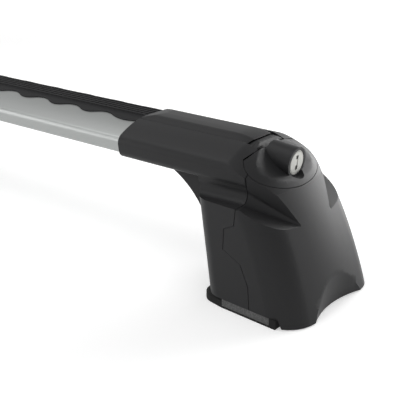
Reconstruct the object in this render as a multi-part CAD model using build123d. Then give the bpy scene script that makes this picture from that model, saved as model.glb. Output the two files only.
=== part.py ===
from build123d import *
import os
from math import asin, cos, hypot, pi, radians, sin, sqrt, tan

os.makedirs("parts", exist_ok=True)

# All sizes are millimetres. The bar lies along X, the car drives along Y, Z is up.
# Each foot is drawn in its own frame: x points outboard, z is measured from the floor.

# Whole bar
OVERALL_LENGTH = 1100.0
FIT = 0.15                  # slip fit between moulded and extruded pieces
RUN = 0.05                  # running clearance of a pin or shaft, radial
SEAM = 0.5                  # visible joint between two mouldings
MOVE = 0.4                  # gap round a piece that moves
OVERLAP = 1.0               # joined or cut shapes run this far into each other

# Bar extrusion
BAR_TOP = 106.3
BAR_BOTTOM = 84.5
BAR_HALF = 37.5             # to the nose edge before it is rounded
BAR_BELLY_HALF = 36.0
CROWN_R = 72.0
NOSE_R = 4.5
BELLY_R = 4.0
BAR_WALL = 1.8
BAR_END = -66.0             # the bar stops here inside the foot

# T-slot in the top of the bar
SLOT_HALF = 5.5
CHANNEL_HALF = 10.5
LIP = 2.2
CHANNEL_DEEP = 7.5
CHANNEL_FLOOR = BAR_TOP - LIP - CHANNEL_DEEP

# Rubber infill
RIB_TOP = 107.9
RIB_PITCH = 3.9
RIB_WIDE = 1.7
RIB_COUNT = 5
SKIRT_TOP = 107.1
SKIRT_HALF = 20.6
SKIRT_EDGE = 0.6
RIB_ROOT = 0.2              # ribs and stem run this far into the skirt
STEM_FOOT = 3.0             # depth of the infill's foot below the slot's lips
STEM_BARB = 2.5             # and how far it reaches under them
WAVE_MID = 16.2
WAVE_SWING = 2.4
WAVE_PITCH = 35.0
WAVE_LAST = 26.0            # the wave next to each sleeve is longer
TAIL_HALF = 15.0            # inside the sleeve's window the infill is straight

# Foot, outer form
SLEEVE_WALL = 2.2
SLEEVE_END = -158.0
WINDOW_HALF = 16.0          # window in the sleeve's roof, filled by the slot cover
WINDOW_PAST = 12.0          # it runs this far past the hinge
STRIP_START = 1.2           # the slot cover begins this far inside the sleeve
STRIP_FLANK = 3.2           # height of its sides, width and radius of its shoulders, bow of its top
STRIP_SHOULDER = 6.0
STRIP_R = 7.0
STRIP_BOW = 0.3
RAMP_START = 1.6            # its end rises from the bar in two steps
RAMP_KNEE = 5.0
RAMP_SHORT = 1.1
RAMP_LONG = 13.0
TOP_Z = 110.0
ROOF_HALF = 42.0
ROOF_START = 6.0            # the foot's roof begins this far inboard of the scoops' bend
TURN_R = 58.0               # the roof turns down through this radius
TURN_X = -76.2
TURN_DEG = 60.2
FACE_R = 343.0              # and goes on as a slightly bowed face
JOIN_Z = 80.8
BASE_IN = -72.0             # inner end of the base, at the floor and its lean per mm of height
BASE_IN_LEAN = 0.18
BASE_HALF_IN = 49.5
BASE_HALF_OUT = 54.5
BASE_DRAFT = 0.045
BASE_R_IN = 15.0
BASE_R_OUT = 22.0
WALL = 3.0

# Shoulder scoops: wall foot, ledge height, hollow radius and outward fall of the ledge
SCOOP_LEAN = 10.0
SCOOP_HALF = 35.4
SCOOP_BEND = -47.0
SCOOP_Z = 73.5
SCOOP_R = 11.0
TIP_X = -12.4
TIP_HALF = 16.4
TIP_Z = 57.6
TIP_R = 1.2
SCOOP_FALL = 0.22
SCOOP_FALL_BEND = 0.05
SCOOP_START = -110.0
SCOOP_RISE = 1.5            # the ledge climbs this much from there to the bend
SCOOP_RUN = 34.0            # the tool runs this far past the tip
SCOOP_WIDE = 70.0
SCOOP_TALL = 60.0

# Plan of the outer face, bowed in the middle and flatter at the sides:
# at the floor, at the scoops' tips and at the join with the roof
PLAN_MID_R = (240.0, 149.0, 125.0)
PLAN_SIDE_R = (200.0, 400.0, 400.0)
PLAN_MID_HALF = (TIP_HALF, TIP_HALF, 26.0)

# Stepped seam between body and cover, from the floor up
SEAM_PATH = ((-31, -10), (-34.4, 22.5), (-41.5, 36.2), (-56.4, 42.7), (-56.2, 57.2), (-47.8, 61.5),
             (-46.4, 74.4), (-47, 91), (-47, 130))

# Neck between sleeve and base
NECK_X = -116.0
NECK_HALF = 32.0
NECK_FOOT = (-80.4, 44.0)
NECK_MID = (-93.6, 67.0)

# Arch in the outer lower edge
ARCH_R = 80.0
ARCH_X = -0.3
ARCH_TILT = 4.0

# Base layers
PAD = 6.5
PAD_SKIN = 1.5              # rubber under the base plate
PAD_IN = -77.0
PAD_HALF_IN = 46.5
PAD_OUT = -11.0
PAD_R = 13.0
PAD_BEVEL = 2.0
UNDER_LEAN = 3.6            # the cover's lower edge leans over the pad
PLATE_IN = -56.0
PLATE_OUT = -16.0
THROAT_IN = -46.0           # open throat for the claw in plate and pad
THROAT_HALF = 17.0
COVER_FOOT = 0.5

# Lock cap and its hinge
HINGE_X = -58.5
HINGE_Z = 103.0
PIN_R = 1.3
PIN_HALF = 19.0
KNUCKLE_R = 4.2
KNUCKLE_HALF = 15.6
CAP_TIP_X = -24.8
CAP_TIP_Z = 80.6
CAP_HALF = 35.6
CAP_CENTRE = 17.0           # along the slope, from the hinge
CAP_SPAN = 22.0             # half of its length along the slope
CAP_SHOULDER = 4.6
CAP_LOW = -4.5              # its underside, from the line between hinge and tip
CAP_FLAT = 1.2              # its dished top, from the same line
CAP_DISH = ((-4, 6.3), (5, 2.6), (12, 0.6), (22, 0), (31, 0.4), (46, 0))
CAP_RELIEF = 5.3            # round the hinge, where the disc swings past the body's shoulders
CAP_BED = 1.5               # room below its underside
TONGUE_LONG = 15.0          # the strip runs on over the hinge and sinks into the disc
TONGUE_THICK = 5.0

# Room inside the foot for the frame, the lock's cam and the screw's head
ROOM_LOW = 68.0
ROOM_HIGH = 90.0
ROOM_HALF = 28.0
PASSAGE_HALF = 24.0
PASSAGE_HIGH = 97.5
HOLLOW_TOP = 79.0

# Lock
LOCK_X = -32.5
LOCK_Z = 94.7
LOCK_TILT = 5.0
HOUSING_R = 10.6
BARREL_R = 8.6
BARREL_LONG = 12.5
CAM_AT = 16.0
HOUSING_LONG = 19.8
PLUG_R = 7.6
FACE_STEP = 0.4             # the barrel's face lies this far behind the housing's rim
RIM = 0.8
KEYWAY_WIDE = 2.6
KEYWAY_TALL = 10.2
KEYWAY_DEEP = 11.0
SHUTTER_TALL = 4.8
SHUTTER_AT = 0.45
SPIGOT_R = 2.5
CAM_THICK = 3.0
CAM_REACH = 9.0
CAM_HUB_R = 5.0
CAM_ROOM = 9.7
CAM_WIDE = 6.0
CAM_SCREW_R = 3.0
CAM_SCREW_TALL = 2.0
CATCH_IN = -49.0
CATCH_THICK = 2.4
CATCH_HALF = 6.0
CATCH_Z = 89.4

# Clamp
SCREW_X = -34.0
SCREW_Z = 69.0
SCREW_TILT = 15.0
SCREW_R = 4.0
SCREW_LONG = 52.0
HEAD_R = 6.5
HEAD_TALL = 8.0
WASHER_R = 8.0
WASHER_THICK = 1.6
SEAT_THICK = 9.0
NUT_AT = 28.0
NUT_TALL = 6.5
NUT_HALF = 6.5
NUT_WALL = 4.0
SOCKET_R = 3.4
SOCKET_DEEP = 4.5
CLAW_HALF = 13.0
CLAW_BACK = 7.0             # its faces, from the screw's axis
CLAW_OUT = 10.0
CLAW_THICK = 5.0
CLAW_LONG = 66.0
CLAW_GUIDE = 7.3            # clearance face of the frame, from the screw's axis
HOOK_TOP = 6.4
HOOK = ((-15, 14), (-9, 16), (-6.5, 4.0), (-9, 1.6), (-32, 1.6), (-34.5, 3.6), (-33.5, HOOK_TOP),
        (-19, HOOK_TOP))
LINER_IN = -32.5
LINER_OUT = -20.0
LINER_THICK = 2.2

# Foot frame
FRAME_HALF = 10.0
TONGUE_IN = -116.0
COLUMN_IN = -65.2
COLUMN_OUT = -60.8
COLUMN_LEAN = 2.4
SOLE_THICK = 5.0
SOLE_OUT = -47.0
SOLE_HALF = 22.0
SEAT_IN = 30.0              # the screw's seat, from its axis
SEAT_OUT = 9.0
GUIDE_LONG = 44.0
GUIDE_THICK = 5.2
FRAME_SCREWS = (-104.0, -82.0)
FRAME_SCREW_R = 3.0
FRAME_HEAD_R = 5.0
FRAME_HEAD = 3.3
FRAME_SOCKET_R = 2.2
FRAME_GRIP = 7.0
BASE_SCREW_X = -51.0
BASE_SCREW_Y = 14.0
BASE_SCREW_R = 2.5
BASE_SCREW_LONG = 9.5
BASE_HEAD_R = 4.4
BASE_HEAD_TALL = 2.5

BIG = 400.0


def face_centre():
    a = radians(TURN_DEG)
    away = FACE_R - TURN_R
    return TURN_X - away * sin(a), TOP_Z - TURN_R - away * cos(a)


def face_x(z, inset=0.0):
    """x of the outer face on the centre line at height z."""
    cx, cz = face_centre()
    return cx + sqrt((FACE_R - inset) ** 2 - (z - cz) ** 2)


def roof_z(x, inset=0.0):
    """Height of the turned-down roof on the centre line."""
    r = TURN_R - inset
    turn_end = TURN_X + r * sin(radians(TURN_DEG))
    if x <= TURN_X:
        return TOP_Z - inset
    if x <= turn_end:
        return TOP_Z - TURN_R + sqrt(r ** 2 - (x - TURN_X) ** 2)
    cx, cz = face_centre()
    return cz + sqrt((FACE_R - inset) ** 2 - (x - cx) ** 2)


FOOT_X = OVERALL_LENGTH / 2 - face_x(COVER_FOOT)
BAR_HALF_LENGTH = FOOT_X + BAR_END


def along_x(face, x0, x1):
    return extrude(Plane.YZ.offset(x0) * face, x1 - x0)


def across(edges, half):
    """A profile drawn in x and z, thickened evenly to both sides of the centre line."""
    return extrude(make_face(Plane.XZ * edges), half, both=True)


def box(x0, x1, y0, y1, z0, z1):
    return Pos((x0 + x1) / 2, (y0 + y1) / 2, (z0 + z1) / 2) * Box(x1 - x0, y1 - y0, z1 - z0)


def rod(start, end, radius):
    """Round bar between two points."""
    a = Vector(*start)
    d = Vector(*end) - a
    return extrude(Plane(origin=a, z_dir=d) * Circle(radius), d.length)


def rect(y0, y1, z0, z1):
    return Pos((y0 + y1) / 2, (z0 + z1) / 2) * Rectangle(y1 - y0, z1 - z0)


def crown_z(y, radius=CROWN_R, top=BAR_TOP):
    return top - radius + sqrt(radius ** 2 - y ** 2)


def bar_outline():
    nose_z = crown_z(BAR_HALF)
    edges = ThreePointArc((-BAR_HALF, nose_z), (0, BAR_TOP), (BAR_HALF, nose_z))
    edges += Polyline((BAR_HALF, nose_z), (BAR_BELLY_HALF, BAR_BOTTOM),
                      (-BAR_BELLY_HALF, BAR_BOTTOM), (-BAR_HALF, nose_z))
    outline = make_face(edges)
    outline = fillet(outline.vertices().group_by(Axis.Y)[-1], NOSE_R)
    return fillet(outline.vertices().group_by(Axis.Y)[0], BELLY_R)


OUTLINE = bar_outline()


def make_bar():
    inner = offset(OUTLINE, -BAR_WALL)
    tower = CHANNEL_HALF + BAR_WALL
    chambers = inner - rect(-tower, tower, 0, BIG)
    chambers += rect(-CHANNEL_HALF, CHANNEL_HALF, BAR_BOTTOM + BAR_WALL, CHANNEL_FLOOR - BAR_WALL)
    slot = rect(-CHANNEL_HALF, CHANNEL_HALF, CHANNEL_FLOOR, BAR_TOP - LIP)
    slot += rect(-SLOT_HALF, SLOT_HALF, CHANNEL_FLOOR, BIG)
    bar = along_x(OUTLINE - chambers - slot, -BAR_HALF_LENGTH, BAR_HALF_LENGTH)
    for end in (-1, 1):
        for x in FRAME_SCREWS:
            bar -= Pos(end * (FOOT_X + x), 0, CHANNEL_FLOOR) * Cylinder(FRAME_SCREW_R + FIT, 4 * BAR_WALL)
    return bar


def make_infill():
    edge_z = crown_z(SKIRT_HALF)
    skirt = ThreePointArc((-SKIRT_HALF, edge_z), (0, BAR_TOP), (SKIRT_HALF, edge_z))
    skirt += Line((SKIRT_HALF, edge_z), (SKIRT_HALF, edge_z + SKIRT_EDGE))
    edge_top = edge_z + SKIRT_EDGE
    skirt += ThreePointArc((SKIRT_HALF, edge_top), (0, SKIRT_TOP), (-SKIRT_HALF, edge_top))
    skirt += Line((-SKIRT_HALF, edge_top), (-SKIRT_HALF, edge_z))
    section = make_face(skirt)
    for i in range(RIB_COUNT):
        y = (i - (RIB_COUNT - 1) / 2) * RIB_PITCH
        section += rect(y - RIB_WIDE / 2, y + RIB_WIDE / 2, BAR_TOP + RIB_ROOT, RIB_TOP)
    stem = SLOT_HALF - FIT
    barb = stem + STEM_BARB
    section += rect(-stem, stem, BAR_TOP - LIP - STEM_FOOT, BAR_TOP + RIB_ROOT)
    section += rect(-barb, barb, BAR_TOP - LIP - STEM_FOOT, BAR_TOP - LIP - FIT)
    tail = FOOT_X + SLEEVE_END + STRIP_START - SEAM
    strip = along_x(section, -tail, tail)

    # wavy edges between the two sleeves, straight inside them
    reach = FOOT_X + SLEEVE_END - SEAM
    inner = reach - WAVE_LAST
    halves = 2 * round(2 * inner / WAVE_PITCH) + 1
    marks = [-reach] + [inner * (2 * i / halves - 1) for i in range(halves + 1)] + [reach]
    outline = Polyline((-tail, -TAIL_HALF), (-tail, TAIL_HALF), (-reach, TAIL_HALF), (-reach, WAVE_MID))
    for side in (1, -1):
        for i in range(halves + 2):
            a = side * marks[i]
            b = side * marks[i + 1]
            peak = WAVE_MID + (WAVE_SWING if i % 2 == 0 else -WAVE_SWING)
            outline += ThreePointArc((a, side * WAVE_MID), ((a + b) / 2, side * peak), (b, side * WAVE_MID))
    outline += Polyline((reach, WAVE_MID), (reach, TAIL_HALF), (tail, TAIL_HALF), (tail, -TAIL_HALF),
                        (reach, -TAIL_HALF), (reach, -WAVE_MID))
    outline += Polyline((-reach, -WAVE_MID), (-reach, -TAIL_HALF), (-tail, -TAIL_HALF))
    return strip & extrude(Plane.XY.offset(BAR_BOTTOM) * make_face(outline), TOP_Z - BAR_BOTTOM)


def at_height(values, z):
    """A size at one height, from those at the floor, at the scoops' tips and at the join."""
    low, mid, high = values
    if z <= TIP_Z:
        return low + (mid - low) * max(z, 0) / TIP_Z
    return mid + (high - mid) * (z - TIP_Z) / (JOIN_Z - TIP_Z)


def face_plan(z, inset):
    """Half of the outer face in plan: front, end of the middle arc, a point of the side arc, corner."""
    mid_r = at_height(PLAN_MID_R, z)
    side_r = at_height(PLAN_SIDE_R, z) - inset
    turn = asin(at_height(PLAN_MID_HALF, z) / mid_r)
    mid_r -= inset
    front = face_x(z, inset)
    bend = (front - mid_r + mid_r * cos(turn), mid_r * sin(turn))

    # the side arc leaves the middle one without a corner
    cx = bend[0] - side_r * cos(turn)
    cy = bend[1] - side_r * sin(turn)
    half_out = BASE_HALF_OUT - BASE_DRAFT * z - inset
    last = asin((half_out - cy) / side_r)
    between = (turn + last) / 2
    side = (cx + side_r * cos(between), cy + side_r * sin(between))
    return (front, 0), bend, side, (cx + side_r * cos(last), half_out)


def base_plan(z, inset):
    """Plan of the base at one height."""
    x_in = BASE_IN - BASE_IN_LEAN * z + inset
    half_in = BASE_HALF_IN - BASE_DRAFT * z - inset
    front, *left = face_plan(z, inset)
    bend, side, corner = left
    bend_r, side_r, corner_r = [(x, -y) for x, y in left]
    edges = Polyline(corner, (x_in, half_in), (x_in, -half_in), corner_r)
    edges += ThreePointArc(corner_r, side_r, bend_r)
    edges += ThreePointArc(bend_r, front, bend)
    edges += ThreePointArc(bend, side, corner)
    plan = make_face(edges)
    plan = fillet(plan.vertices().group_by(Axis.X)[0], BASE_R_IN - inset)
    plan = fillet([v for v in plan.vertices() if abs(v.Y) > corner[1] - RUN], BASE_R_OUT - inset)
    return Plane.XY.offset(z) * plan


def spine_section(x, inset):
    """Cross section of the turned-down roof: the sleeve's crown, lowered along the slope."""
    half = ROOF_HALF - inset
    radius = CROWN_R + SLEEVE_WALL - inset
    top = roof_z(x, inset)
    low = PAD
    edge_z = crown_z(half, radius, top)
    edges = ThreePointArc((-half, edge_z), (0, top), (half, edge_z))
    edges += Polyline((half, edge_z), (half, low), (-half, low), (-half, edge_z))
    return Plane.YZ.offset(x) * make_face(edges)


def roof(inset=0.0, steps=9, ruled=False):
    """Everything under the turned-down roof."""
    end = TURN_X + (TURN_R - inset) * sin(radians(TURN_DEG)) + 4 * OVERLAP
    xs = [TURN_X + (end - TURN_X) * k / steps for k in range(steps + 1)]
    return loft([spine_section(x, inset) for x in xs], ruled=ruled)


def scoop(inset):
    """Tool that hollows the shoulder on the -y side and runs out to a point."""
    along = Vector(TIP_X - SCOOP_BEND, SCOOP_HALF - TIP_HALF, 0).normalized()
    out = Vector(along.Y, -along.X, 0)
    turn = (out + Vector(0, -1, 0)).normalized()
    end = Vector(TIP_X, -TIP_HALF, TIP_Z) + along * SCOOP_RUN
    fall = (SCOOP_Z - TIP_Z) / hypot(TIP_X - SCOOP_BEND, SCOOP_HALF - TIP_HALF)
    stations = (
        (Vector(SCOOP_START, -SCOOP_HALF, SCOOP_Z - SCOOP_RISE), Vector(0, -1, 0), SCOOP_R, 0.0),
        (Vector(SCOOP_BEND, -SCOOP_HALF, SCOOP_Z), turn, SCOOP_R, SCOOP_FALL_BEND),
        (Vector(TIP_X, -TIP_HALF, TIP_Z), out, TIP_R, SCOOP_FALL),
        (Vector(end.X, end.Y, TIP_Z - SCOOP_RUN * fall), out, TIP_R, SCOOP_FALL),
    )
    lean = radians(SCOOP_LEAN)
    wall_top = (SCOOP_TALL * tan(lean), SCOOP_TALL)
    faces = []
    for point, u, r, drop in stations:
        origin = point - u * inset - Vector(0, 0, inset)
        plane = Plane(origin=origin, x_dir=u, z_dir=u.cross(Vector(0, 0, 1)))
        r += inset
        t = r * tan((pi / 2 - lean) / 2)
        wall_end = (t * sin(lean), t * cos(lean))
        mid = (t - r * sin(pi / 4 - lean / 2), r - r * cos(pi / 4 - lean / 2))
        ledge_end = (SCOOP_WIDE, -SCOOP_WIDE * drop)
        edges = Polyline((t, 0), ledge_end, (SCOOP_WIDE, SCOOP_TALL), wall_top, wall_end)
        edges += ThreePointArc(wall_end, mid, (t, 0))
        faces.append(plane * make_face(edges))
    return loft(faces, ruled=True)


def foot_form():
    """Base and turned-down roof with both shoulder scoops, as one full solid."""
    heights = (-WALL, TIP_Z / 3, TIP_Z * 2 / 3, TIP_Z, (TIP_Z + JOIN_Z) / 2, JOIN_Z)
    form = loft([base_plan(z, 0.0) for z in heights])
    form += roof() & box(SCOOP_BEND - ROOF_START, BIG, -BIG, BIG, JOIN_Z, BIG)
    side = BAR_HALF + SLEEVE_WALL
    inner = BASE_IN - BASE_IN_LEAN * JOIN_Z
    form += box(inner, SCOOP_BEND, -side, side, JOIN_Z - OVERLAP, BAR_BOTTOM + OVERLAP)
    hollow = scoop(0.0)
    return form - hollow - mirror(hollow, Plane.XZ)


def foot_hollow():
    """The inside of the foot, one wall in from its outer form and drawn with flat steps."""
    hollow = loft([base_plan(z, WALL) for z in (-WALL, TIP_Z / 2, TIP_Z, JOIN_Z)], ruled=True)
    hollow += roof(WALL, 4, True) & box(SCOOP_BEND - ROOF_START, BIG, -BIG, BIG, JOIN_Z, BIG)
    scooped = scoop(WALL)
    return hollow - scooped - mirror(scooped, Plane.XZ)


def seam_region(shift):
    """Everything outboard of the stepped seam."""
    path = [(x + shift, z) for x, z in SEAM_PATH]
    path += [(BIG, SEAM_PATH[-1][1]), (BIG, SEAM_PATH[0][1])]
    return across(Polyline(*path, close=True), BIG)


def slope_plane():
    """Plane through the cap's hinge and its tip; local x runs down the slope."""
    d = Vector(CAP_TIP_X - HINGE_X, 0, CAP_TIP_Z - HINGE_Z).normalized()
    return Plane(origin=(HINGE_X, 0, HINGE_Z), x_dir=d, z_dir=(-d.Z, 0, d.X))


def cap_prism(grow, low):
    """The cap's oval drawn square to the slope, with its neck at the hinge."""
    oval = Pos(CAP_CENTRE, 0) * Ellipse(CAP_SPAN + grow, CAP_HALF + grow)
    oval &= Pos(BIG / 2 + CAP_SHOULDER - grow, 0) * Rectangle(BIG, BIG)
    return extrude(slope_plane().offset(low) * oval, CAP_HALF - low)


def hinge_rod(half, radius):
    """Round bar along the cap's hinge."""
    return rod((HINGE_X, -half, HINGE_Z), (HINGE_X, half, HINGE_Z), radius)


def lock_axis(at):
    """Point on the lock's axis, counted inboard from its face."""
    a = radians(LOCK_TILT)
    return (LOCK_X - at * cos(a), 0, LOCK_Z + at * sin(a))


def lock_plane(at):
    a = radians(LOCK_TILT)
    return Plane(origin=lock_axis(at), x_dir=(0, 1, 0), z_dir=(-cos(a), 0, sin(a)))


def lock_round(at0, at1, radius):
    return rod(lock_axis(at0), lock_axis(at1), radius)


def screw_plane(down):
    """Plane square to the clamp screw, counted down from the seat; x outboard, z up."""
    a = radians(SCREW_TILT)
    origin = (SCREW_X + down * sin(a), 0, SCREW_Z - down * cos(a))
    return Plane(origin=origin, x_dir=(cos(a), 0, sin(a)), z_dir=(-sin(a), 0, cos(a)))


def screw_round(down0, down1, radius):
    return extrude(screw_plane(down1) * Circle(radius), down1 - down0)


def screw_box(down0, down1, e0, e1, half):
    section = Pos((e0 + e1) / 2, 0) * Rectangle(e1 - e0, 2 * half)
    return extrude(screw_plane(down1) * section, down1 - down0)


def neck():
    top = (NECK_X, BAR_BOTTOM - SLEEVE_WALL + OVERLAP)
    high = (BAR_TOP + BAR_BOTTOM) / 2
    edges = Polyline(top, (NECK_X, high), (BAR_END, high), (BAR_END, NECK_FOOT[1]), NECK_FOOT)
    edges += ThreePointArc(NECK_FOOT, NECK_MID, top)
    return across(edges, NECK_HALF)


def arch():
    return Pos(ARCH_X + ARCH_R, 0, 0) * Rot(0, ARCH_TILT, 0) * Cylinder(ARCH_R, BIG)


def under_cut():
    """Space below the mouldings that the pad fills."""
    low, high = PAD_OUT + UNDER_LEAN, PAD_OUT + 2 * FIT
    edges = Polyline((-BIG, -WALL), (low, -WALL), (low, 0), (high, PAD), (-BIG, PAD), close=True)
    return across(edges, BIG)


FORM = foot_form()
HOLLOW = foot_hollow()


def make_foot_body():
    skin = offset(OUTLINE, SLEEVE_WALL)
    sleeve = along_x(skin, SLEEVE_END, TURN_X)
    sleeve += along_x(skin, TURN_X, SCOOP_BEND - SEAM / 2) & roof()
    body = FORM - seam_region(-SEAM / 2) + sleeve + neck()
    body -= HOLLOW & box(-BIG, BIG, -BIG, BIG, -BIG, HOLLOW_TOP)
    body -= along_x(offset(OUTLINE, FIT), SLEEVE_END - OVERLAP, BAR_END + SEAM)
    passage_end = HINGE_X + KNUCKLE_R + MOVE
    body -= box(BAR_END, passage_end + OVERLAP, -PASSAGE_HALF, PASSAGE_HALF, ROOM_LOW, PASSAGE_HIGH)
    body -= box(passage_end, BIG, -ROOM_HALF, ROOM_HALF, ROOM_LOW, ROOM_HIGH)
    body -= lock_round(CAM_AT - OVERLAP, CAM_AT + CAM_THICK + 3 * OVERLAP, CAM_REACH + OVERLAP)
    body -= under_cut()
    body -= cap_prism(MOVE, CAP_LOW - CAP_BED)
    window_end = HINGE_X + WINDOW_PAST
    body -= box(SLEEVE_END - OVERLAP, window_end, -WINDOW_HALF, WINDOW_HALF, CHANNEL_FLOOR - LIP, BIG)
    body -= make_hinge_pin()
    return max(body.solids(), key=lambda s: s.volume)


def make_foot_cover():
    cover = FORM & seam_region(SEAM / 2)
    cover -= arch()
    cover -= HOLLOW - Pos(-WALL, 0, 0) * arch()
    cover -= cap_prism(MOVE, CAP_LOW - CAP_BED)
    cover -= under_cut()
    cover -= box(-BIG, BIG, -BIG, BIG, -BIG, COVER_FOOT)
    return max(cover.solids(), key=lambda s: s.volume)


def strip_section(top, low, half):
    """Raised strip with a nearly flat top and soft flanks."""
    flank = top - STRIP_FLANK
    inner = half - STRIP_SHOULDER
    edge = top - STRIP_BOW
    edges = Polyline((-inner, edge), (-half, flank), (-half, low), (half, low), (half, flank), (inner, edge))
    edges += ThreePointArc((inner, edge), (0, top), (-inner, edge))
    section = make_face(edges)
    return fillet(section.vertices().filter_by_position(Axis.Y, edge - RUN, edge + RUN), STRIP_R)


def make_slot_cover():
    half = WINDOW_HALF - FIT
    start = SLEEVE_END + STRIP_START
    cover = along_x(strip_section(TOP_Z, CHANNEL_FLOOR, half), start, TURN_X)
    xs = [TURN_X + (HINGE_X - TURN_X) * k / 3 for k in range(4)]
    cover += loft([Plane.YZ.offset(x) * strip_section(roof_z(x), CHANNEL_FLOOR, half) for x in xs])
    cover -= along_x(offset(OUTLINE, FIT), SLEEVE_END, HINGE_X)
    cover -= hinge_rod(WINDOW_HALF, KNUCKLE_R + 2 * MOVE)
    foot = BAR_TOP + RAMP_START
    ramp = Polyline((start - OVERLAP, foot), (start, foot), (start + RAMP_KNEE, TOP_Z - RAMP_SHORT),
                    (start + RAMP_LONG, TOP_Z + RUN), (start - OVERLAP, TOP_Z + OVERLAP), close=True)
    cover -= across(ramp, WINDOW_HALF)
    return max(cover.solids(), key=lambda s: s.volume)


def make_lock_cap():
    plane = slope_plane()
    side = Plane(origin=plane.origin, x_dir=plane.x_dir, z_dir=(0, -1, 0))
    points = [(x, CAP_FLAT + rise) for x, rise in CAP_DISH]
    first, last = points[0], points[-1]
    dish = Spline(*points) + Polyline(last, (last[0], -CAP_HALF), (first[0], -CAP_HALF), first)
    disc = cap_prism(0, CAP_LOW) & roof() & extrude(side * make_face(dish), BIG, both=True)
    disc -= hinge_rod(ROOF_HALF, CAP_RELIEF) - hinge_rod(KNUCKLE_HALF - SEAM, CAP_RELIEF)

    # the strip runs on over the hinge and sinks into the disc
    third = TONGUE_LONG / 3
    end_top = HINGE_Z + plane.x_dir.Z / plane.x_dir.X * TONGUE_LONG + FIT
    near_top = roof_z(HINGE_X + third)
    tops = (roof_z(HINGE_X), near_top - 1.4, (near_top + end_top) / 2 - 1.5, end_top)
    sections = [strip_section(top, top - TONGUE_THICK, KNUCKLE_HALF) for top in tops]
    tongue = loft([Plane.YZ.offset(HINGE_X + k * third) * sections[k] for k in range(4)])
    half = KNUCKLE_HALF - FIT
    envelope = strip_section(roof_z(HINGE_X) - FIT, CHANNEL_FLOOR - LIP, half + RUN)
    knuckle = hinge_rod(half, KNUCKLE_R) & along_x(envelope, HINGE_X - TONGUE_LONG, HINGE_X + TONGUE_LONG)
    cap = tongue + knuckle + disc
    cap += lock_round(0, HOUSING_LONG, HOUSING_R)
    cap -= lock_round(-BIG, 0, HOUSING_R - RIM)
    cap -= lock_round(-OVERLAP, BARREL_LONG, BARREL_R)
    cap -= lock_round(BARREL_LONG, HOUSING_LONG - SEAM, CAM_ROOM)
    cap -= lock_round(HOUSING_LONG - OVERLAP, CAM_AT + CAM_THICK + CAM_SCREW_TALL + SEAM, CAM_SCREW_R + MOVE)
    below = Pos(0, CAP_HALF / 2) * Rectangle(2 * CAM_ROOM, CAP_HALF)
    cap -= extrude(lock_plane(BARREL_LONG) * below, HOUSING_LONG - BARREL_LONG)
    cap -= screw_round(-WASHER_THICK - HEAD_TALL - OVERLAP, 0, HEAD_R + OVERLAP)
    cap -= hinge_rod(WINDOW_HALF, PIN_R + RUN)
    return max(cap.solids(), key=lambda s: s.volume)


def make_hinge_pin():
    return hinge_rod(PIN_HALF, PIN_R)


def make_lock_barrel():
    barrel = lock_round(FACE_STEP, BARREL_LONG, BARREL_R)
    return barrel - lock_round(0, BARREL_LONG + OVERLAP, PLUG_R + RUN)


def keyway(at0, at1, tall):
    return extrude(lock_plane(at0) * Rectangle(KEYWAY_WIDE, tall), at1 - at0)


def make_lock_plug():
    plug = lock_round(FACE_STEP / 2, BARREL_LONG, PLUG_R)
    plug += lock_round(BARREL_LONG, CAM_AT + CAM_THICK, SPIGOT_R)
    return plug - keyway(0, KEYWAY_DEEP, KEYWAY_TALL)


def make_key_shutter():
    return keyway(SHUTTER_AT, KEYWAY_DEEP, SHUTTER_TALL)


def make_lock_cam():
    arm = Circle(CAM_HUB_R) + Pos(CAM_REACH / 2, 0) * Rectangle(CAM_REACH, CAM_WIDE)
    return extrude(lock_plane(CAM_AT) * (arm - Circle(SPIGOT_R)), CAM_THICK)


def make_cam_screw():
    back = CAM_AT + CAM_THICK
    slot = extrude(lock_plane(back + CAM_SCREW_TALL / 2) * Rectangle(3 * CAM_SCREW_R, 1.0), CAM_SCREW_TALL)
    return lock_round(back, back + CAM_SCREW_TALL, CAM_SCREW_R) - slot


def make_frame():
    floor = BAR_BOTTOM + BAR_WALL + FIT
    roof_in = CHANNEL_FLOOR - BAR_WALL - FIT
    sole = PAD + SOLE_THICK
    edges = Polyline((TONGUE_IN, floor), (TONGUE_IN, roof_in), (COLUMN_OUT, roof_in),
                     (COLUMN_OUT + COLUMN_LEAN, sole), (SOLE_OUT, sole), (SOLE_OUT, PAD), (COLUMN_IN, PAD),
                     (COLUMN_IN, floor), close=True)
    frame = across(edges, FRAME_HALF)
    frame += box(COLUMN_IN + OVERLAP, SOLE_OUT, -SOLE_HALF, SOLE_HALF, PAD, sole)
    seat = screw_box(0, SEAT_THICK, -SEAT_IN, SEAT_OUT, CLAW_HALF)
    frame += seat & box(COLUMN_OUT, BIG, -BIG, BIG, 0, BIG)
    frame += screw_box(SEAT_THICK - OVERLAP, GUIDE_LONG, -CLAW_GUIDE - GUIDE_THICK, -CLAW_GUIDE, CLAW_HALF)
    frame += box(CATCH_IN, CATCH_IN + CATCH_THICK, -CATCH_HALF, CATCH_HALF, SCREW_Z - SEAT_THICK, CATCH_Z)
    frame -= screw_round(-OVERLAP, SEAT_THICK + OVERLAP, SCREW_R + MOVE)
    for x in FRAME_SCREWS:
        frame -= Pos(x, 0, roof_in - FRAME_GRIP / 2) * Cylinder(FRAME_SCREW_R, FRAME_GRIP)
    for y in (-BASE_SCREW_Y, BASE_SCREW_Y):
        frame -= Pos(BASE_SCREW_X, y, PAD + SOLE_THICK / 2) * Cylinder(BASE_SCREW_R, SOLE_THICK)
    return frame


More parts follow.
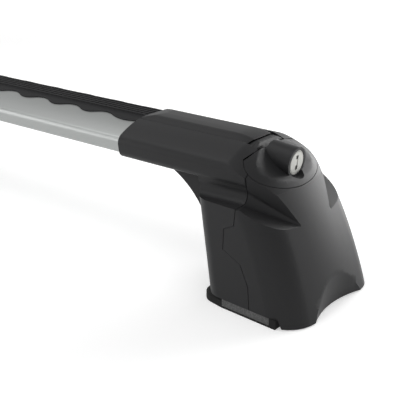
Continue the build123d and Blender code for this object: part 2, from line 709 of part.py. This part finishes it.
def make_frame_screws():
    screws = []
    low = CHANNEL_FLOOR - BAR_WALL - FIT - FRAME_GRIP
    for x in FRAME_SCREWS:
        at = Pos(x, 0, CHANNEL_FLOOR + FRAME_HEAD / 2)
        head = at * Cylinder(FRAME_HEAD_R, FRAME_HEAD)
        socket = at * extrude(RegularPolygon(FRAME_SOCKET_R, 6), FRAME_HEAD)
        shank = Pos(x, 0, (CHANNEL_FLOOR + low) / 2) * Cylinder(FRAME_SCREW_R, CHANNEL_FLOOR - low)
        screws.append(head + shank - socket)
    return screws


def make_clamp_screw():
    top = -WASHER_THICK - HEAD_TALL
    screw = screw_round(top, -WASHER_THICK, HEAD_R) + screw_round(-WASHER_THICK, SCREW_LONG, SCREW_R)
    return screw - extrude(screw_plane(top + SOCKET_DEEP) * RegularPolygon(SOCKET_R, 6), HEAD_TALL)


def make_clamp_washer():
    hole = screw_round(-WASHER_THICK, 0, SCREW_R + 2 * FIT)
    return screw_round(-WASHER_THICK, 0, WASHER_R) - hole


def make_clamp_claw():
    claw = screw_box(NUT_AT - NUT_WALL, NUT_AT + NUT_TALL + NUT_WALL, -CLAW_BACK, CLAW_OUT, CLAW_HALF)
    claw += screw_box(NUT_AT - NUT_WALL, CLAW_LONG, CLAW_OUT - CLAW_THICK, CLAW_OUT, CLAW_HALF)
    claw += across(Polyline(*HOOK, close=True), CLAW_HALF)
    claw -= screw_round(0, CLAW_LONG - NUT_WALL, SCREW_R + 2 * FIT)
    claw -= screw_box(NUT_AT, NUT_AT + NUT_TALL, -NUT_HALF, 2 * CLAW_OUT, NUT_HALF)
    return claw


def make_claw_nut():
    nut = screw_box(NUT_AT, NUT_AT + NUT_TALL, -NUT_HALF, NUT_HALF, NUT_HALF)
    return nut - screw_round(0, CLAW_LONG, SCREW_R + RUN)


def make_claw_liner():
    return box(LINER_IN, LINER_OUT, -CLAW_HALF, CLAW_HALF, HOOK_TOP, HOOK_TOP + LINER_THICK)


def side_half(x):
    """Half width of the base at floor level."""
    corner = face_plan(0, 0)[-1]
    return BASE_HALF_IN + (corner[1] - BASE_HALF_IN) * (x - BASE_IN) / (corner[0] - BASE_IN)


def plate_plan():
    y0, y1 = side_half(PLATE_IN), side_half(PLATE_OUT)
    plan = make_face(Polyline((PLATE_IN, -y0), (PLATE_OUT, -y1), (PLATE_OUT, y1), (PLATE_IN, y0), close=True))
    return plan - Pos(THROAT_IN + BIG / 2, 0) * Rectangle(BIG, 2 * THROAT_HALF)


def base_screw_head(y):
    at = Pos(BASE_SCREW_X, y, PAD_SKIN + BASE_HEAD_TALL / 2)
    return at * Cone(BASE_HEAD_R, BASE_SCREW_R, BASE_HEAD_TALL)


def base_screw_shank(y):
    at = Pos(BASE_SCREW_X, y, PAD_SKIN + BASE_SCREW_LONG / 2)
    return at * Cylinder(BASE_SCREW_R, BASE_SCREW_LONG)


def make_base_plate():
    plate = extrude(Plane.XY.offset(PAD_SKIN) * plate_plan(), PAD - PAD_SKIN)
    for y in (-BASE_SCREW_Y, BASE_SCREW_Y):
        plate -= base_screw_shank(y) + base_screw_head(y)
    return plate


def make_base_screws():
    return [base_screw_shank(y) + base_screw_head(y) for y in (-BASE_SCREW_Y, BASE_SCREW_Y)]


def make_base_pad():
    outline = [(PAD_IN, PAD_HALF_IN), (PLATE_IN, side_half(PLATE_IN)), (PAD_OUT, side_half(PAD_OUT))]
    outline += [(x, -y) for x, y in reversed(outline)]
    plan = make_face(Polyline(*outline, close=True))
    plan = fillet(plan.vertices().group_by(Axis.X)[0], PAD_R)
    pad = extrude(plan, PAD)
    rim = pad.edges().group_by(Axis.Z)[-1]
    pad = chamfer(rim.filter_by_position(Axis.X, PAD_IN - OVERLAP, PAD_IN + PAD_R + OVERLAP), PAD_BEVEL)
    throat = THROAT_HALF + SEAM
    pad -= box(THROAT_IN - SEAM, BIG, -throat, throat, -OVERLAP, BIG)
    return pad - box(PLATE_IN, PLATE_OUT, -BIG, BIG, PAD_SKIN, BIG)


def both_ends(name, solids):
    """The same foot piece at both ends; the far one is turned half a turn."""
    pieces = solids if isinstance(solids, list) else [solids]
    right = [Pos(FOOT_X, 0, 0) * p for p in pieces]
    left = [Rot(0, 0, 180) * p for p in right]
    for side, group in (("right", right), ("left", left)):
        shape = group[0] if len(group) == 1 else Compound(children=group)
        export_step(shape, "parts/" + side + "_" + name + ".step")


export_step(make_bar(), "parts/bar.step")
export_step(make_infill(), "parts/rubber_infill.step")
both_ends("foot_body", make_foot_body())
both_ends("foot_cover", make_foot_cover())
both_ends("slot_cover", make_slot_cover())
both_ends("lock_cap", make_lock_cap())
both_ends("hinge_pin", make_hinge_pin())
both_ends("lock_barrel", make_lock_barrel())
both_ends("lock_plug", make_lock_plug())
both_ends("key_shutter", make_key_shutter())
both_ends("lock_cam", make_lock_cam())
both_ends("cam_screw", make_cam_screw())
both_ends("foot_frame", make_frame())
both_ends("frame_screws", make_frame_screws())
both_ends("clamp_screw", make_clamp_screw())
both_ends("clamp_washer", make_clamp_washer())
both_ends("clamp_claw", make_clamp_claw())
both_ends("claw_nut", make_claw_nut())
both_ends("claw_liner", make_claw_liner())
both_ends("base_plate", make_base_plate())
both_ends("base_screws", make_base_screws())
both_ends("base_pad", make_base_pad())
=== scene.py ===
"""Gives a roof rack crossbar its finishes and softened edges, and sets it on a studio floor."""

import math

import bpy
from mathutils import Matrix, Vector


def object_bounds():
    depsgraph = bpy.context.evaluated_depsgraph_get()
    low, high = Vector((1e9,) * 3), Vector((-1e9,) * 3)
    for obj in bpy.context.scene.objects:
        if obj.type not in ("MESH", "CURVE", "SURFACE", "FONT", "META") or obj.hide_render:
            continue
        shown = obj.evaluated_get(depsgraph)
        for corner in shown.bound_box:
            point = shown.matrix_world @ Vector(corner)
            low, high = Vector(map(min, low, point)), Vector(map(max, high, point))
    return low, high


bl_info = {
    "name": "Roof rack crossbar",
    "version": (1, 0, 0),
    "blender": (4, 5, 0),
    "location": "View3D > Sidebar > Crossbar",
    "description": "Finishes, softened edges, studio and camera for a roof rack crossbar",
    "category": "Object",
}

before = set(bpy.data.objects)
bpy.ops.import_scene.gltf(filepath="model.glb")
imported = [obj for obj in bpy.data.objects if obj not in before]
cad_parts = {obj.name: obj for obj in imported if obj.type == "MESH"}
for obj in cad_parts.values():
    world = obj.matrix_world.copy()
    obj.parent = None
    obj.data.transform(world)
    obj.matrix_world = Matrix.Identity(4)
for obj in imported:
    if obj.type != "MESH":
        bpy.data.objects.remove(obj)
CAD_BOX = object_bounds()

MM = 0.001
SIDES = ("right", "left")
MOULDINGS = ("foot_body", "foot_cover", "slot_cover", "lock_cap")
LOCK_METAL = ("lock_barrel", "lock_plug", "key_shutter")
STEEL = ("hinge_pin", "lock_cam", "cam_screw", "frame_screws", "clamp_screw", "clamp_washer", "claw_nut",
         "base_screws")

# The photographed foot stands at the +X end; its outer face ends the whole object.
FOOT_END = CAD_BOX[1].x

# Facets closer than this are joined; edges sharper than this are rounded.
JOIN_GAP = 0.002 * MM
SHARP_ANGLE = math.radians(32)

# Lamps: place, aim and width in metres.
AIM_HEIGHT = 0.05
LAMPS = {
    "back": ((FOOT_END + 0.15, 0.85, 0.28), (FOOT_END, 0, AIM_HEIGHT), 0.7),
    "front": ((-FOOT_END - 0.05, -0.75, 0.3), (-FOOT_END, 0, AIM_HEIGHT), 0.7),
    "top": ((-0.2, -0.25, 1.3), (0.3, 0, 0), 1.0),
    "fill": ((FOOT_END + 0.1, -0.9, 1.1), (FOOT_END, 0, AIM_HEIGHT), 0.8),
}

# The lamps light the floor out to these distances in metres; the eye gets extra white to match.
FLOOR_REACH = 6.0
LIT_FLOOR = (0.6, 1.1)
EXTRA_WHITE = (0.32, 0.62)

# Upward part of a look at which the studio's walls have turned into its ceiling.
CEILING_RISE = 0.7


def linear(hex_colour):
    """Linear colour of an sRGB hex value."""
    channels = [int(hex_colour[i:i + 2], 16) / 255 for i in (0, 2, 4)]
    return tuple(c / 12.92 if c <= 0.04045 else ((c + 0.055) / 1.055) ** 2.4 for c in channels)


def colour_property(name, description, hex_colour):
    return bpy.props.FloatVectorProperty(name=name, description=description, subtype="COLOR", size=3,
                                         min=0, max=1, default=linear(hex_colour))


def length_property(name, description, millimetres):
    return bpy.props.FloatProperty(name=name, description=description, subtype="DISTANCE", unit="LENGTH",
                                   min=0, default=millimetres * MM)


def power_property(name, description, watts):
    return bpy.props.FloatProperty(name=name, description=description, unit="POWER", min=0, default=watts)


class CrossbarFinishes(bpy.types.PropertyGroup):
    """Colours and grain of the crossbar's materials."""

    nylon: colour_property("Moulded nylon", "Foot body, covers and lock cap", "272728")
    nylon_grain: length_property("Nylon grain", "Spacing of the spark-eroded grain", 0.55)
    rubber: colour_property("Strip rubber", "Ribbed strip on the bar", "272728")
    pad_rubber: colour_property("Pad rubber", "Pads under the feet and claw liners", "1e1e1e")
    rubber_grain: length_property("Rubber grain", "Spacing of the rubber's matt grain", 0.9)
    aluminium: colour_property("Anodised aluminium", "Extruded bar", "9ea09f")
    draw_lines: length_property("Die lines", "Spacing of the lines along the extrusion", 0.7)
    plate: colour_property("Cast plate", "Grey band between foot and pad", "565656")
    plate_speck: colour_property("Cast plate specks", "Darker specks in the grey band", "3c3c3c")
    plate_grit: length_property("Plate grit", "Size of the plate's specks", 1.1)
    plating_mottle: length_property("Plating mottle", "Spacing of the plating's duller patches", 1.4)
    nickel: colour_property("Nickel plating", "Lock plug, barrel and shutter", "aaaaa6")
    zinc: colour_property("Zinc plating", "Screws, nuts, washers and pins", "b4b6b9")
    alloy: colour_property("Cast alloy", "Frame inside the foot", "97999b")
    alloy_skin: length_property("Alloy skin", "Spacing of the unevenness of the cast skin", 1.5)
    coating: colour_property("Dip coating", "Clamp claws", "1f1f20")
    coating_ripple: length_property("Coating ripple", "Spacing of the dip coating's ripples", 2.5)


class CrossbarEdges(bpy.types.PropertyGroup):
    """Softened edges of each kind of piece."""

    moulding: length_property("Mouldings", "Edge rounding of the moulded pieces", 0.5)
    extrusion: length_property("Bar and strip", "Edge rounding of bar and rubber strip", 0.25)
    metal: length_property("Metal pieces", "Edge rounding of screws, lock and cast pieces", 0.2)
    base: length_property("Plate and pad", "Edge rounding of base plate and pad", 0.4)


class CrossbarStage(bpy.types.PropertyGroup):
    """Camera and lamps."""

    lens: bpy.props.FloatProperty(name="Lens", description="Focal length on a 36 mm sensor",
                                  unit="CAMERA", default=76.7)
    azimuth: bpy.props.FloatProperty(name="Azimuth", description="Camera's turn round the foot",
                                     subtype="ANGLE", default=math.radians(38.23))
    elevation: bpy.props.FloatProperty(name="Elevation", description="Camera's height above the horizon",
                                       subtype="ANGLE", default=math.radians(21.23))
    camera_out: length_property("Camera outboard", "Camera's place beyond the foot's outer face", 242.57)
    camera_front: length_property("Camera in front", "Camera's distance in front of the bar", 460.0)
    camera_up: length_property("Camera height", "Camera's height above the floor", 276.0)
    back_power: power_property("Back lamp", "Low lamp behind the photographed foot", 10.0)
    front_power: power_property("Front lamp", "Low lamp in front of the other foot", 3.2)
    top_power: power_property("Top lamp", "Soft lamp above the bar", 6.0)
    fill_power: power_property("Fill lamp", "Soft lamp in front of the photographed foot", 3.0)
    ambient: bpy.props.FloatProperty(name="Ambient", description="Brightness of the studio's walls",
                                     min=0, default=0.6)
    ceiling: colour_property("Ceiling", "The studio's ceiling, duller than its walls", "c4c4c4")
    floor: colour_property("Floor", "Plain pale floor", "f4f4f4")


def add_node(tree, kind, inputs, **settings):
    """Adds a node, sets its options, and sets or links its sockets."""
    node = tree.nodes.new(kind)
    for option, value in settings.items():
        setattr(node, option, value)
    for socket, value in inputs.items():
        if isinstance(value, bpy.types.NodeSocket):
            tree.links.new(value, node.inputs[socket])
        else:
            node.inputs[socket].default_value = value
    return node


def start_material(name):
    """An empty material, its node tree and the object's own coordinates in metres."""
    material = bpy.data.materials.new(name)
    material.use_nodes = True
    tree = material.node_tree
    tree.nodes.clear()
    place = add_node(tree, "ShaderNodeTexCoord", {})
    return material, tree, place.outputs["Object"]


def end_material(tree, inputs):
    """Joins a principled surface with these sockets to the material's output."""
    surface = add_node(tree, "ShaderNodeBsdfPrincipled", inputs)
    add_node(tree, "ShaderNodeOutputMaterial", {"Surface": surface.outputs["BSDF"]})


def opaque(colour):
    return (*colour, 1.0)


def moulded_nylon(finishes):
    """Glass-filled nylon from a spark-eroded mould: dull black with broad soft lights and a fine grain."""
    # The real grain is about 0.2 mm, too fine to show, so it is drawn coarser.
    material, tree, place = start_material("moulded_nylon")
    grain = add_node(tree, "ShaderNodeTexNoise", {"Vector": place, "Scale": 1 / finishes.nylon_grain,
                                                  "Detail": 2.0})
    bump = add_node(tree, "ShaderNodeBump", {"Height": grain.outputs["Fac"], "Strength": 0.12,
                                             "Distance": 0.1 * MM})
    end_material(tree, {"Base Color": opaque(finishes.nylon), "Roughness": 0.44, "Specular IOR Level": 0.18,
                        "Normal": bump.outputs["Normal"]})
    return material


def moulded_rubber(name, colour, grain_size):
    """EPDM rubber, extruded or pressed: dark and matt, with hardly any light on its edges."""
    # The real grain is finer than this and would not show.
    material, tree, place = start_material(name)
    grain = add_node(tree, "ShaderNodeTexNoise", {"Vector": place, "Scale": 1 / grain_size, "Detail": 3.0})
    bump = add_node(tree, "ShaderNodeBump", {"Height": grain.outputs["Fac"], "Strength": 0.2,
                                             "Distance": 0.1 * MM})
    end_material(tree, {"Base Color": opaque(colour), "Roughness": 0.7, "Specular IOR Level": 0.15,
                        "Normal": bump.outputs["Normal"]})
    return material


def anodised_aluminium(finishes):
    """Etched and anodised extrusion: pale satin silver, with faint lines left by the die along its length."""
    # Real die lines lie about 0.1 mm apart and would not show, so they are drawn wider apart.
    material, tree, place = start_material("anodised_aluminium")
    drawn = add_node(tree, "ShaderNodeMapping", {"Vector": place, "Scale": (0.004, 1.0, 1.0)})
    lines = add_node(tree, "ShaderNodeTexNoise", {"Vector": drawn.outputs["Vector"],
                                                  "Scale": 1 / finishes.draw_lines, "Detail": 2.0})
    rough = add_node(tree, "ShaderNodeMapRange", {"Value": lines.outputs["Fac"], "To Min": 0.36,
                                                  "To Max": 0.46})
    bump = add_node(tree, "ShaderNodeBump", {"Height": lines.outputs["Fac"], "Strength": 0.05,
                                             "Distance": 0.05 * MM})
    end_material(tree, {"Base Color": opaque(finishes.aluminium), "Metallic": 1.0,
                        "Roughness": rough.outputs["Result"], "Normal": bump.outputs["Normal"]})
    return material


def cast_plate(finishes):
    """Grey coated casting: a dull band with darker specks."""
    material, tree, place = start_material("coated_cast_plate")
    grit = add_node(tree, "ShaderNodeTexNoise", {"Vector": place, "Scale": 1 / finishes.plate_grit,
                                                 "Detail": 3.0})
    share = add_node(tree, "ShaderNodeMapRange", {"Value": grit.outputs["Fac"], "From Min": 0.4,
                                                  "From Max": 0.65})
    specks = add_node(tree, "ShaderNodeMix", {"Factor": share.outputs["Result"],
                                              "A": opaque(finishes.plate_speck),
                                              "B": opaque(finishes.plate)}, data_type="RGBA")
    end_material(tree, {"Base Color": specks.outputs["Result"], "Roughness": 0.6, "IOR": 1.5})
    return material


def plated_metal(name, colour, roughness, mottle_size):
    """Barrel-plated metal: bright, softened by the plating, with faintly duller patches."""
    material, tree, place = start_material(name)
    mottle = add_node(tree, "ShaderNodeTexNoise", {"Vector": place, "Scale": 1 / mottle_size, "Detail": 2.0})
    rough = add_node(tree, "ShaderNodeMapRange", {"Value": mottle.outputs["Fac"], "To Min": roughness - 0.06,
                                                  "To Max": roughness + 0.06})
    end_material(tree, {"Base Color": opaque(colour), "Metallic": 1.0, "Roughness": rough.outputs["Result"]})
    return material


def cast_alloy(finishes):
    """Die-cast aluminium left as cast: dull grey metal with a slightly uneven skin."""
    material, tree, place = start_material("cast_alloy")
    skin = add_node(tree, "ShaderNodeTexNoise", {"Vector": place, "Scale": 1 / finishes.alloy_skin,
                                                 "Detail": 3.0})
    bump = add_node(tree, "ShaderNodeBump", {"Height": skin.outputs["Fac"], "Strength": 0.25,
                                             "Distance": 0.1 * MM})
    end_material(tree, {"Base Color": opaque(finishes.alloy), "Metallic": 1.0, "Roughness": 0.5,
                        "Normal": bump.outputs["Normal"]})
    return material


def dip_coated_steel(finishes):
    """Dip-coated steel: black and half glossy, with a slight ripple."""
    material, tree, place = start_material("dip_coated_steel")
    ripple = add_node(tree, "ShaderNodeTexNoise", {"Vector": place, "Scale": 1 / finishes.coating_ripple,
                                                   "Detail": 1.0})
    bump = add_node(tree, "ShaderNodeBump", {"Height": ripple.outputs["Fac"], "Strength": 0.15,
                                             "Distance": 0.1 * MM})
    end_material(tree, {"Base Color": opaque(finishes.coating), "Roughness": 0.38, "IOR": 1.5,
                        "Normal": bump.outputs["Normal"]})
    return material


def foot_pieces(*names):
    """The same pieces of both feet."""
    return [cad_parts[side + "_" + name] for side in SIDES for name in names]


def finish(pieces, material, edge):
    """Gives pieces a material and rounds their edges."""
    for piece in pieces:
        piece.data.materials.clear()
        piece.data.materials.append(material)
        piece.data.shade_smooth()
        joined = piece.modifiers.new("Joined facets", "WELD")
        joined.merge_threshold = JOIN_GAP
        rounded = piece.modifiers.new("Rounded edges", "BEVEL")
        rounded.width = edge
        rounded.segments = 2
        rounded.limit_method = "ANGLE"
        rounded.angle_limit = SHARP_ANGLE
        rounded.harden_normals = True
        even = piece.modifiers.new("Even shading", "WEIGHTED_NORMAL")
        even.mode = "FACE_AREA_WITH_ANGLE"
        even.keep_sharp = True


class CROSSBAR_OT_finish_bar(bpy.types.Operator):
    """Finish the aluminium bar"""

    bl_idname = "crossbar.finish_bar"
    bl_label = "Finish bar"

    def execute(self, context):
        finishes = context.scene.crossbar_finishes
        edges = context.scene.crossbar_edges
        finish([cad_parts["bar"]], anodised_aluminium(finishes), edges.extrusion)
        return {"FINISHED"}


class CROSSBAR_OT_finish_strip(bpy.types.Operator):
    """Finish the ribbed rubber strip"""

    bl_idname = "crossbar.finish_strip"
    bl_label = "Finish rubber strip"

    def execute(self, context):
        finishes = context.scene.crossbar_finishes
        edges = context.scene.crossbar_edges
        rubber = moulded_rubber("extruded_rubber", finishes.rubber, finishes.rubber_grain)
        finish([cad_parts["rubber_infill"]], rubber, edges.extrusion)
        return {"FINISHED"}


class CROSSBAR_OT_finish_mouldings(bpy.types.Operator):
    """Finish the foot bodies, covers, strips and lock caps"""

    bl_idname = "crossbar.finish_mouldings"
    bl_label = "Finish mouldings"

    def execute(self, context):
        finishes = context.scene.crossbar_finishes
        edges = context.scene.crossbar_edges
        finish(foot_pieces(*MOULDINGS), moulded_nylon(finishes), edges.moulding)
        return {"FINISHED"}


class CROSSBAR_OT_finish_locks(bpy.types.Operator):
    """Finish the lock barrels, plugs and shutters"""

    bl_idname = "crossbar.finish_locks"
    bl_label = "Finish locks"

    def execute(self, context):
        finishes = context.scene.crossbar_finishes
        edges = context.scene.crossbar_edges
        nickel = plated_metal("nickel_plating", finishes.nickel, 0.52, finishes.plating_mottle)
        finish(foot_pieces(*LOCK_METAL), nickel, edges.metal)
        return {"FINISHED"}


class CROSSBAR_OT_finish_fittings(bpy.types.Operator):
    """Finish the frames, screws, pins and claws"""

    bl_idname = "crossbar.finish_fittings"
    bl_label = "Finish fittings"

    def execute(self, context):
        finishes = context.scene.crossbar_finishes
        edges = context.scene.crossbar_edges
        zinc = plated_metal("zinc_plating", finishes.zinc, 0.34, finishes.plating_mottle)
        finish(foot_pieces(*STEEL), zinc, edges.metal)
        finish(foot_pieces("foot_frame"), cast_alloy(finishes), edges.metal)
        finish(foot_pieces("clamp_claw"), dip_coated_steel(finishes), edges.metal)
        return {"FINISHED"}


class CROSSBAR_OT_finish_bases(bpy.types.Operator):
    """Finish the base plates, pads and claw liners"""

    bl_idname = "crossbar.finish_bases"
    bl_label = "Finish bases"

    def execute(self, context):
        finishes = context.scene.crossbar_finishes
        edges = context.scene.crossbar_edges
        rubber = moulded_rubber("pressed_rubber", finishes.pad_rubber, finishes.rubber_grain)
        finish(foot_pieces("base_plate"), cast_plate(finishes), edges.base)
        finish(foot_pieces("base_pad", "claw_liner"), rubber, edges.base)
        return {"FINISHED"}


def studio_white(tree, light, strength):
    """A background that eye and mirror see as white, and that lights the object less."""
    path = add_node(tree, "ShaderNodeLightPath", {})
    seen = add_node(tree, "ShaderNodeMath", {0: path.outputs["Is Camera Ray"],
                                             1: path.outputs["Is Glossy Ray"]}, operation="MAXIMUM")
    seen = add_node(tree, "ShaderNodeMath", {0: seen.outputs[0],
                                             1: path.outputs["Is Transmission Ray"]}, operation="MAXIMUM")
    return add_node(tree, "ShaderNodeMapRange", {"Value": seen.outputs[0], "To Min": light,
                                                 "To Max": strength})


def add_lamp(name, place, target, size, power):
    """A square soft lamp that looks at target."""
    lamp = bpy.data.lights.new(name, "AREA")
    lamp.size = size
    lamp.energy = power
    holder = bpy.data.objects.new(name, lamp)
    holder.location = place
    holder.rotation_mode = "QUATERNION"
    holder.rotation_quaternion = (Vector(target) - Vector(place)).to_track_quat("-Z", "Y")
    bpy.context.scene.collection.objects.link(holder)
    return holder


def add_floor(stage):
    """A wide pale floor; the eye gets a little extra white, more of it far from the lamps."""
    mesh = bpy.data.meshes.new("floor")
    corners = [(x * FLOOR_REACH, y * FLOOR_REACH, 0) for x, y in ((-1, -1), (1, -1), (1, 1), (-1, 1))]
    mesh.from_pydata(corners, [], [(0, 1, 2, 3)])
    floor = bpy.data.objects.new("floor", mesh)
    bpy.context.scene.collection.objects.link(floor)
    material, tree, place = start_material("studio_floor")
    away = add_node(tree, "ShaderNodeVectorMath", {0: place}, operation="LENGTH")
    extra = add_node(tree, "ShaderNodeMapRange", {"Value": away.outputs["Value"],
                                                  "From Min": LIT_FLOOR[0], "From Max": LIT_FLOOR[1],
                                                  "To Min": EXTRA_WHITE[0], "To Max": EXTRA_WHITE[1]})
    white = studio_white(tree, 0.0, extra.outputs["Result"])
    end_material(tree, {"Base Color": opaque(stage.floor), "Roughness": 0.9, "Specular IOR Level": 0.0,
                        "Emission Color": (1, 1, 1, 1), "Emission Strength": white.outputs["Result"]})
    mesh.materials.append(material)


class CROSSBAR_OT_set_stage(bpy.types.Operator):
    """Set the floor, lamps, background and camera"""

    bl_idname = "crossbar.set_stage"
    bl_label = "Set stage"

    def execute(self, context):
        scene = context.scene
        stage = scene.crossbar_stage
        scene.view_settings.view_transform = "Standard"

        world = bpy.data.worlds.new("studio")
        world.use_nodes = True
        tree = world.node_tree
        tree.nodes.clear()
        white = studio_white(tree, stage.ambient, 1.0)
        look = add_node(tree, "ShaderNodeTexCoord", {})
        axes = add_node(tree, "ShaderNodeSeparateXYZ", {"Vector": look.outputs["Generated"]})
        rise = add_node(tree, "ShaderNodeMapRange", {"Value": axes.outputs["Z"], "From Max": CEILING_RISE})
        shade = add_node(tree, "ShaderNodeMix", {"Factor": rise.outputs["Result"], "A": (1, 1, 1, 1),
                                                 "B": opaque(stage.ceiling)}, data_type="RGBA")
        walls = add_node(tree, "ShaderNodeBackground", {"Color": shade.outputs["Result"],
                                                        "Strength": white.outputs["Result"]})
        add_node(tree, "ShaderNodeOutputWorld", {"Surface": walls.outputs["Background"]})
        scene.world = world

        add_floor(stage)
        for name, (place, target, width) in LAMPS.items():
            add_lamp(name + "_lamp", place, target, width, getattr(stage, name + "_power"))

        camera = bpy.data.objects.new("camera", bpy.data.cameras.new("camera"))
        camera.data.lens = stage.lens
        camera.data.sensor_width = 36.0
        camera.data.clip_start = 0.01
        camera.location = (FOOT_END + stage.camera_out, -stage.camera_front, stage.camera_up)
        back = Vector((math.sin(stage.azimuth) * math.cos(stage.elevation),
                       -math.cos(stage.azimuth) * math.cos(stage.elevation), math.sin(stage.elevation)))
        camera.rotation_mode = "QUATERNION"
        camera.rotation_quaternion = (-back).to_track_quat("-Z", "Y")
        scene.collection.objects.link(camera)
        scene.camera = camera
        return {"FINISHED"}


class CROSSBAR_PT_panel(bpy.types.Panel):
    """Sidebar panel of the crossbar's settings and steps."""

    bl_idname = "CROSSBAR_PT_panel"
    bl_label = "Roof rack crossbar"
    bl_space_type = "VIEW_3D"
    bl_region_type = "UI"
    bl_category = "Crossbar"

    def draw(self, context):
        for group in SETTINGS:
            settings = getattr(context.scene, group)
            column = self.layout.column()
            for name in settings.__annotations__:
                column.prop(settings, name)
        for step in STEPS:
            self.layout.operator(step.bl_idname)


SETTINGS = {"crossbar_finishes": CrossbarFinishes, "crossbar_edges": CrossbarEdges,
            "crossbar_stage": CrossbarStage}
STEPS = (CROSSBAR_OT_finish_bar, CROSSBAR_OT_finish_strip, CROSSBAR_OT_finish_mouldings,
         CROSSBAR_OT_finish_locks, CROSSBAR_OT_finish_fittings, CROSSBAR_OT_finish_bases,
         CROSSBAR_OT_set_stage)


def register():
    for name, group in SETTINGS.items():
        bpy.utils.register_class(group)
        setattr(bpy.types.Scene, name, bpy.props.PointerProperty(type=group))
    for shown in (*STEPS, CROSSBAR_PT_panel):
        bpy.utils.register_class(shown)


def unregister():
    for shown in reversed((*STEPS, CROSSBAR_PT_panel)):
        bpy.utils.unregister_class(shown)
    for name, group in SETTINGS.items():
        delattr(bpy.types.Scene, name)
        bpy.utils.unregister_class(group)


def main():
    register()
    bpy.ops.crossbar.finish_bar()
    bpy.ops.crossbar.finish_strip()
    bpy.ops.crossbar.finish_mouldings()
    bpy.ops.crossbar.finish_locks()
    bpy.ops.crossbar.finish_fittings()
    bpy.ops.crossbar.finish_bases()
    bpy.ops.crossbar.set_stage()


if __name__ == "__main__":
    main()
